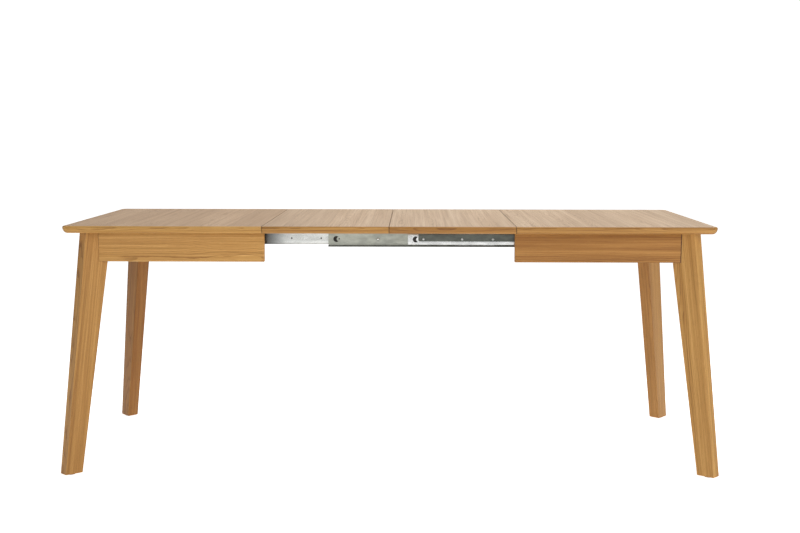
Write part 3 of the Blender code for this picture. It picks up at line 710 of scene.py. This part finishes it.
def thread(start, end, radius):
    """Profile points of a screw thread, drawn as a row of ridges."""
    count = int(abs(end - start) / THREAD_PITCH)
    pitch = (end - start) / count
    points = []
    for i in range(count):
        points += [(start + i * pitch, radius - THREAD_DEPTH), (start + (i + 0.5) * pitch, radius)]
    return points + [(end, radius - THREAD_DEPTH)]


def washer(seat, start, direction):
    edge, end = WASHER_EDGE, seat + WASHER_THICKNESS
    profile = [(seat, 0), (seat, WASHER_RADIUS - edge), (seat + edge, WASHER_RADIUS)]
    profile += [(end - edge, WASHER_RADIUS), (end, WASHER_RADIUS - edge), (end, 0)]
    return turned(profile, start, direction, segments=48)


def hexagon_nut(seat, start, direction):
    """A nut with its corners chamfered at both ends."""
    flat = NUT_RADIUS * math.cos(math.radians(30))
    end = seat + NUT_THICKNESS
    chamfer = [(0.0, 0.3), (0.25, 0.6), (0.5, 1.0)]
    lower = [(seat + NUT_CHAMFER * u, flat + (NUT_RADIUS - flat) * w) for u, w in chamfer]
    upper = [(end - NUT_CHAMFER * u, flat + (NUT_RADIUS - flat) * w) for u, w in reversed(chamfer)]
    return turned(
        [(seat, 0), *lower, *upper, (end, 0)], start, direction, segments=72,
        radius_at=lambda angle: flat / math.cos((angle % math.radians(60)) - math.radians(30)),
    )


def leg_bolt(node):
    """A hanger bolt with its washer and hexagon nut, along the diagonal of its corner."""
    low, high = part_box(node)
    sx, sy = corner_signs(node)
    inwards = Vector((-sx, -sy, 0)).normalized()
    # The shank ends inside the leg at one end and past the nut at the other.
    inset = BOLT_RADIUS / math.sqrt(2)
    tail_x = (high.x if sx > 0 else low.x) - sx * inset
    tail_y = (high.y if sy > 0 else low.y) - sy * inset
    nose_x = (low.x if sx > 0 else high.x) + sx * inset
    tail = Vector((tail_x, tail_y, (low.z + high.z) / 2))
    length = abs(nose_x - tail_x) * math.sqrt(2)
    profile = [(0, 0), *thread(0.0005, length - BOLT_TIP_LENGTH, BOLT_RADIUS)]
    profile += [(length, BOLT_RADIUS - BOLT_TIP_INSET), (length, 0)]
    shank = turned(profile, tail, inwards, segments=24)
    seat = length - NUT_FROM_END
    ring = washer(seat, tail, inwards)
    nut = hexagon_nut(seat + WASHER_THICKNESS, tail, inwards)
    show(node + "_fine", join(shank, ring, nut), [BOLT], node)


def foot_glide(node):
    """A nailed-on nylon glide with a rounded rim."""
    low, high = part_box(node)
    middle, radius, thick = (low + high) / 2, (high.x - low.x) / 2, high.z - low.z
    rim = []
    for i in range(7):
        angle = math.radians(90 * i / 6)
        rim.append((GLIDE_RIM * (1 - math.cos(angle)), radius - GLIDE_RIM * (1 - math.sin(angle))))
    profile = [(GLIDE_DISH, 0), (GLIDE_DISH, radius * 0.35), (0, radius * 0.45)]
    profile += [*rim, (thick, radius), (thick, 0)]
    bm = turned(profile, (middle.x, middle.y, low.z), (0, 0, 1), segments=48)
    show(node + "_fine", bm, [NYLON], node)


# ---------------------------------------------------------------- slides

def fillet(points, radius, steps=5):
    """The path with its inner corners made round."""
    path = [points[0]]
    for before, here, after in zip(points, points[1:], points[2:]):
        back, onward = (before - here).normalized(), (after - here).normalized()
        turn = math.pi - back.angle(onward)
        reach = radius * math.tan(turn / 2)
        start, end = here + back * reach, here + onward * reach
        centre = here + (back + onward).normalized() * radius / math.cos(turn / 2)
        for i in range(steps + 1):
            arm = (start - centre).lerp(end - centre, i / steps).normalized() * radius
            path.append(centre + arm)
    return path + [points[-1]]


def up_and_down(upper, middle):
    """A path of (Y, Z) points, from its upper half measured from the middle height."""
    return [(y, middle + z) for y, z in upper] + [(y, middle - z) for y, z in reversed(upper)]


def sheet_bar(points, run, thickness=SHEET, radius=BEND - SHEET / 2):
    """A bent sheet-metal bar along X. points is the middle of the sheet as (Y, Z)."""
    path = fillet([Vector(p) for p in points], radius)
    left, right = [], []
    for i, point in enumerate(path):
        way = (path[min(i + 1, len(path) - 1)] - path[max(i - 1, 0)]).normalized()
        square = Vector((-way.y, way.x)) * thickness / 2
        left.append(point + square)
        right.append(point - square)
    ring = left + right[::-1]
    bm = bmesh.new()
    ends = [[bm.verts.new((x, p.x, p.y)) for p in ring] for x in run]
    for i in range(len(ring)):
        j = (i + 1) % len(ring)
        bm.faces.new((ends[0][i], ends[0][j], ends[1][j], ends[1][i]))
    count = len(path)
    for end, flip in zip(ends, (False, True)):
        for i in range(count - 1):
            quad = [end[i], end[i + 1], end[2 * count - 2 - i], end[2 * count - 1 - i]]
            bm.faces.new(quad[::-1] if flip else quad)
    bmesh.ops.recalc_face_normals(bm, faces=bm.faces)
    return bm


class Slide:
    """One of the two slides. The back one is the front one after half a turn about Z, so its pieces
    are made in the front place and turned."""

    def __init__(self, side):
        self.turned = side == "back"
        self.apron_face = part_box("front_left_apron")[1].y
        self.near, self.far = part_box("front_left_channel"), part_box("front_right_channel")
        self.rail_near, self.rail_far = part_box("front_left_rail"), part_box("front_right_rail")
        self.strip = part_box("front_right_mount_strip")
        self.middle = (self.near[0].z + self.near[1].z) / 2

    def name(self, front_name):
        if not self.turned:
            return front_name
        swap = {"front": "back", "left": "right", "right": "left"}
        return "_".join(swap.get(word, word) for word in front_name.split("_"))

    def turn(self, bm):
        if self.turned:
            bmesh.ops.rotate(bm, verts=bm.verts, matrix=Matrix.Rotation(math.pi, 3, "Z"))

    def show(self, front_name, bm, materials):
        """Shows the piece in the place of the node with this name at the front."""
        self.turn(bm)
        node = self.name(front_name)
        show(node + "_fine", bm, materials, node)

    def add(self, front_name, bm, material, carrier, slot):
        """Shows a small extra piece that no node has, riding with the carrier node."""
        self.turn(bm)
        piece = show(self.name(front_name), bm, [material], self.name(carrier), instead=False)

    def at(self, x, y, up=0.0):
        return Vector((x, y, self.middle + up))

    def cross_hole(self, x, radius, up=0.0, near=-0.004, far=0.034):
        """A cutter along Y. near and far are measured from the apron's inner face."""
        start, end = self.at(x, self.apron_face + near, up), self.at(x, self.apron_face + far, up)
        return rod(start, end, radius)

    def cross_holes(self, places, radius, up=0.0):
        return [self.cross_hole(x, radius, up) for x in places]

    def stop_slot(self, x, near, far):
        """The cutter of a crescent slot."""
        disc = self.cross_hole(x, STOP_RADIUS, 0.0, near, far)
        tab = self.cross_hole(x + STOP_TAB_SHIFT, STOP_TAB_RADIUS, 0.0, near - 0.001, far + 0.001)
        return cut_away(disc, [tab])

    def pad(self, x, face, radius):
        """A dark nylon disc on the back of a web, behind a hole in it: painted shade that keeps the hole
        dark.
        """
        rim = SHADE_DISC_THICKNESS * 0.3
        profile = [(0, 0), (0, radius), (SHADE_DISC_THICKNESS - rim, radius), (SHADE_DISC_THICKNESS, radius - rim)]
        return turned([*profile, (SHADE_DISC_THICKNESS, 0)], self.at(x, face), (0, 1, 0))

    def channel_path(self, mouth, web):
        """Lip, flange, web, flange and lip, as (Y, Z)."""
        half, side = CHANNEL_HEIGHT / 2 - SHEET / 2, math.copysign(SHEET / 2, web - mouth)
        lip = CHANNEL_HEIGHT / 2 - CHANNEL_LIP
        return up_and_down([(mouth + side, lip), (mouth + side, half), (web - side, half)], self.middle)

    def rail_path(self, back, tip):
        """Flange, web and flange, as (Y, Z)."""
        half, side = RAIL_HEIGHT / 2 - SHEET / 2, math.copysign(SHEET / 2, tip - back)
        return up_and_down([(tip, half), (back + side, half)], self.middle)

    def channel(self, name, box, mouth, web):
        low, high = box
        bm = sheet_bar(self.channel_path(mouth, web), (low.x, high.x))
        bm = cut_away(bm, [
            self.stop_slot(self.far[0].x + STOP_FROM_END, *CHANNEL_SLOT_REACH),
            *self.cross_holes(*CHANNEL_HOLE),
            *self.cross_holes(RIVETS, RIVET_RADIUS + 0.0003),
        ])
        # The faces at the mouth, the lips, take the near-black steel: painted shade on the lips.
        for face in bm.faces:
            if abs(face.calc_center_median().y - mouth) < LIP_SHADE_BAND:
                face.material_index = 1
        self.show(name, bm, [ZINC_PASSIVATED_SHADED, STEEL_SHADE])

    def channels(self):
        """The two channels, riveted web to web. One carries the runner's rail and opens away from the
        apron, and the other opens towards it."""
        self.channel("front_left_channel", self.near, self.near[1].y, self.near[0].y)
        self.channel("front_right_channel", self.far, self.far[0].y, self.far[1].y)
        # A dark disc behind the stop slot: painted shade in the slot.
        x, web_face = self.far[0].x + STOP_FROM_END, self.near[0].y + SHEET
        pad = self.pad(x, web_face, STOP_RADIUS + CHANNEL_SHADE_DISC_PAST_STOP)
        self.add("front_left_channel_pad", pad, NYLON, "front_left_channel", "glide_nylon")

    def runner_rail(self):
        """The rail on the wooden runner, with dark plugs behind its holes as painted shade in the holes."""
        low, high = self.rail_near
        bm = sheet_bar(self.rail_path(high.y, low.y), (low.x, high.x))
        cuts = self.cross_holes(*RUNNER_RAIL_HOLES) + self.cross_holes(RUNNER_SCREWS, SCREW_HOLE_RADIUS)
        # Its zinc is painted darker as shade.
        self.show("front_left_rail", cut_away(bm, cuts), [ZINC_SHADED])
        places, up = RUNNER_RAIL_HOLES[0], RUNNER_RAIL_HOLES[2]
        profile = [(0, 0), (0, SHADE_PLUG_RADIUS), (SHADE_PLUG_THICKNESS, SHADE_PLUG_TIP_RADIUS), (SHADE_PLUG_THICKNESS, 0)]
        for number, x in enumerate(places, 1):
            shade_plug = turned(profile, self.at(x, high.y, up), (0, 1, 0))
            self.add(f"front_left_rail_plug_{number}", shade_plug, NYLON, "front_left_rail", "glide_nylon")

    def apron_rail(self):
        """The rail on the mounting strip, with a dark disc behind its stop slot as painted shade in the
        slot.
        """
        low, high = self.rail_far
        bm = sheet_bar(self.rail_path(low.y, high.y), (low.x, high.x))
        slot = self.stop_slot(low.x + STOP_FROM_END, *RAIL_SLOT_REACH)
        cuts = [slot, *self.cross_holes(APRON_SCREWS, SCREW_HOLE_RADIUS)]
        self.show("front_right_rail", cut_away(bm, cuts), [ZINC])
        pad = self.pad(low.x + STOP_FROM_END, low.y + SHEET, STOP_RADIUS + RAIL_SHADE_DISC_PAST_STOP)
        self.add("front_right_rail_pad", pad, NYLON, "front_right_rail", "glide_nylon")

    def mount_strip(self):
        """The strip between the rail and the apron, with the rivets that hold the rail to it."""
        low, high = self.strip
        bm = block(low, high)
        across = [e for e in bm.edges if abs(e.verts[0].co.y - e.verts[1].co.y) > SAME_PLACE]
        lower = [e for e in across if max(v.co.z for v in e.verts) < self.middle]
        round_off(bm, lower, STRIP_CORNER_RADIUS, 6)
        cuts = self.cross_holes(*APRON_RAIL_HOLES) + self.cross_holes(APRON_SCREWS, SCREW_HOLE_RADIUS)
        self.show("front_right_mount_strip", cut_away(bm, cuts), [STRIP])
        places, up = APRON_RAIL_HOLES[0], APRON_RAIL_HOLES[2]
        rail_face = self.rail_far[0].y
        head = dome(0, rail_face - low.y - 0.0002, STRIP_RIVET_RADIUS)
        profile = [(-STRIP_RIVET_TAIL, 0), (-STRIP_RIVET_TAIL, STRIP_RIVET_TAIL_RADIUS), *head]
        for number, x in enumerate(places, 1):
            rivet = turned(profile, self.at(x, rail_face, up), (0, -1, 0))
            name = f"front_right_strip_rivet_{number}"
            self.add(name, rivet, ZINC, "front_right_mount_strip", "slide_zinc")

    def rivet(self, number, x):
        """A rivet through both webs, with a domed head on a collar at each side; the collar is painted dark
        as the shadow ring round the head.
        """
        low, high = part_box(f"front_rivet_{number}")
        middle, half = self.at(x, (low.y + high.y) / 2), (high.y - low.y) / 2
        reach = half - RIVET_DOME_HEIGHT
        collar = reach + RIVET_COLLAR
        side = [(reach, RIVET_RADIUS), (reach, RIVET_HEAD_RADIUS), (collar, RIVET_HEAD_RADIUS)]
        side += dome(collar, half, RIVET_DOME_RADIUS)
        bm = turned([(-along, radius) for along, radius in reversed(side)] + side, middle, (0, 1, 0))
        for face in bm.faces:
            # The collar faces take the near-black steel: painted shade round the head.
            place = face.calc_center_median() - middle
            if math.hypot(place.x, place.z) > RIVET_DOME_RADIUS + 0.0001:
                face.material_index = 1
        self.show(f"front_rivet_{number}", bm, [ZINC, STEEL_SHADE])

    def screw(self, node, x, direction):
        """A pan-head screw with a cross recess. direction is the way along Y that it points."""
        low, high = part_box(node)
        length = high.y - low.y
        start = self.at(x, low.y if direction > 0 else high.y)
        profile = [*reversed(dome(SCREW_HEAD_CROWN, 0, SCREW_HEAD_RADIUS))]
        profile += [(SCREW_HEAD_HEIGHT, SCREW_HEAD_RADIUS), (SCREW_HEAD_HEIGHT, SCREW_RADIUS)]
        profile += [*thread(SCREW_NECK_END, length - SCREW_POINT, SCREW_RADIUS), (length, 0)]
        bm = turned(profile, start, (0, direction, 0), segments=24)
        cutters = []
        for across, up in ((RECESS_WIDTH, RECESS_THICKNESS), (RECESS_THICKNESS, RECESS_WIDTH)):
            reach = Vector((across, RECESS_DEPTH, up))
            cutters.append(block(start - reach, start + reach))
        self.show(node, cut_away(bm, cutters), [ZINC])

    def cage(self, node, near_side):
        """A bent sheet cage with two rows of steel balls in its strips."""
        low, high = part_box(node)
        web, tip = (low.y, high.y) if near_side else (high.y, low.y)
        inwards = math.copysign(1.0, tip - web)
        row = (CHANNEL_HEIGHT / 2 - SHEET + RAIL_HEIGHT / 2) / 2
        path = up_and_down([(tip, row), (web + inwards * CAGE_SHEET / 2, row)], self.middle)
        bm = sheet_bar(path, (low.x, high.x), CAGE_SHEET, CAGE_BEND)
        count = min(MOST_BALLS, int((high.x - low.x) / BALL_PITCH))
        for i in range(count):
            x = (low.x + high.x) / 2 + (i - (count - 1) / 2) * BALL_PITCH
            for level in (-row, row):
                place = Matrix.Translation(self.at(x, web + inwards * BALL_FROM_WEB, level))
                size = {"u_segments": 20, "v_segments": 12, "radius": BALL_RADIUS}
                bmesh.ops.create_uvsphere(bm, matrix=place, **size)
        self.show(node, bm, [CAGE])

    def make(self):
        self.channels()
        self.runner_rail()
        self.apron_rail()
        self.mount_strip()
        for number, x in enumerate(RIVETS, 1):
            self.rivet(number, x)
        for number, (runner, apron_side) in enumerate(zip(RUNNER_SCREWS, APRON_SCREWS), 1):
            self.screw(f"front_left_rail_screw_{number}", runner, 1)
            self.screw(f"front_right_rail_screw_{number}", apron_side, -1)
        self.cage("front_left_ball_cage", True)
        self.cage("front_right_ball_cage", False)


# ---------------------------------------------------------------- the table

for number, name in enumerate(("left_top_half", "left_leaf", "right_leaf", "right_top_half")):
    board(name, number)
for number, place in enumerate(("front_left", "front_right", "back_left", "back_right")):
    leg(place, 11 + number)
    corner_block(place, 21 + number)
    wavy = place == "front_left"
    apron(place + "_apron", [place], (1, 0, 0), 35 + number, APRON_TONES[place], plain_sawn=wavy)
    leg_bolt(place + "_leg_bolt_lower")
    leg_bolt(place + "_leg_bolt_upper")
    foot_glide(place + "_foot_glide")
apron("left_end_apron", ["front_left", "back_left"], (0, 1, 0), 46, 0.5)
apron("right_end_apron", ["front_right", "back_right"], (0, 1, 0), 47, 0.5)
plain_board("front_left_runner", (1, 0, 0), (0, 0, 1), 51)
plain_board("back_right_runner", (1, 0, 0), (0, 0, 1), 52)
plain_board("left_leaf_batten", (0, 1, 0), (1, 0, 0), 53)
plain_board("right_leaf_batten", (0, 1, 0), (1, 0, 0), 54)

Slide("front").make()
Slide("back").make()


# ---------------------------------------------------------------- floor, light and camera

def make_floor():
    """A pale floor that looks evenly white to the camera and keeps only the faintest shadow."""
    bpy.ops.mesh.primitive_plane_add(size=120.0, location=(0, 30, 0))
    floor = bpy.context.object
    floor.name = "floor"
    s = Shader("Pale floor")
    seen = s.node("ShaderNodeLightPath").outputs["Is Camera Ray"]
    glow = s.math("ADD", s.math("MULTIPLY", seen, 0.40), 0.50)
    white, pale = (1.0, 1.0, 1.0), (0.93, 0.93, 0.93)
    paint = s.finish(Base_Color=pale, Roughness=0.9, Emission_Color=white, Emission_Strength=glow)
    floor.data.materials.append(paint)


def softbox(name, place, target, size, power):
    data = bpy.data.lights.new(name, "AREA")
    data.shape = "RECTANGLE"
    data.size, data.size_y = size
    data.energy = power
    lamp = bpy.data.objects.new(name, data)
    bpy.context.scene.collection.objects.link(lamp)
    lamp.location = place
    lamp.rotation_euler = (Vector(target) - Vector(place)).to_track_quat("-Z", "Y").to_euler()


def make_world():
    """White to the camera. What lights the table is dimmer at the left and brighter low down behind it."""
    world = bpy.data.worlds.new("Studio")
    bpy.context.scene.world = world
    world.use_nodes = True
    tree = world.node_tree
    tree.nodes.clear()

    def node(kind, inputs=(), **settings):
        made = tree.nodes.new(kind)
        for key, value in settings.items():
            setattr(made, key, value)
        for key, value in dict(inputs).items():
            if isinstance(value, bpy.types.NodeSocket):
                tree.links.new(value, made.inputs[key])
            else:
                made.inputs[key].default_value = value
        return made

    def fade(value, start, end, first, last, kind="SMOOTHSTEP"):
        inputs = {"Value": value, "From Min": start, "From Max": end, "To Min": first, "To Max": last}
        return node("ShaderNodeMapRange", inputs, interpolation_type=kind).outputs["Result"]

    way = node("ShaderNodeTexCoord").outputs["Generated"]
    parts = node("ShaderNodeSeparateXYZ", {0: way}).outputs
    side = fade(parts["X"], -0.8, 0.8, WORLD_LEFT, WORLD_RIGHT, "LINEAR")
    height = node("ShaderNodeMath", {0: parts["Z"]}, operation="ABSOLUTE").outputs[0]
    low_down = fade(height, 0.0, 0.55, 1.0, 0.0)
    behind = fade(parts["Y"], 0.1, 0.9, 0.0, WORLD_BEHIND)
    glow = node("ShaderNodeMath", {0: low_down, 1: behind}, operation="MULTIPLY").outputs[0]
    strength = node("ShaderNodeMath", {0: side, 1: glow}, operation="ADD").outputs[0]
    lit = node("ShaderNodeBackground", {"Color": (0.985, 0.99, 1.0, 1), "Strength": strength}).outputs[0]
    seen = node("ShaderNodeBackground", {"Color": (1, 1, 1, 1), "Strength": 1.05}).outputs[0]
    path = node("ShaderNodeLightPath").outputs["Is Camera Ray"]
    mix = node("ShaderNodeMixShader", {0: path, 1: lit, 2: seen}).outputs[0]
    node("ShaderNodeOutputWorld", {"Surface": mix})


def make_camera():
    """Stands well back at sitting eye height, looking slightly down along +Y."""
    place = Vector((0.0742, -4.112, 1.058))
    yaw, pitch, roll = -0.0111, 0.1118, 0.0013
    level = Vector((math.sin(yaw), math.cos(yaw), 0))
    forward = level * math.cos(pitch) - Vector((0, 0, math.sin(pitch)))
    right = Vector((math.cos(yaw), -math.sin(yaw), 0))
    up = right.cross(forward)
    right, up = (
        math.cos(roll) * right + math.sin(roll) * up,
        math.cos(roll) * up - math.sin(roll) * right,
    )
    data = bpy.data.cameras.new("Camera")
    data.lens = 56.29
    camera = bpy.data.objects.new("Camera", data)
    bpy.context.scene.collection.objects.link(camera)
    camera.matrix_world = Matrix.Translation(place) @ Matrix((right, up, -forward)).transposed().to_4x4()
    bpy.context.scene.camera = camera


make_floor()
make_world()
make_camera()
softbox("Overhead", (0.3, 0.6, 3.4), (0.1, 0, 0.7), (3.2, 2.6), 70)
softbox("Key", (2.3, -3.0, 2.0), (-0.3, -0.3, 0.5), (1.8, 1.6), 44)
softbox("Fill", (-1.2, -4.2, 1.3), (-0.5, 0, 0.4), (2.0, 1.6), 17)
bpy.context.scene.view_settings.view_transform = "Standard"
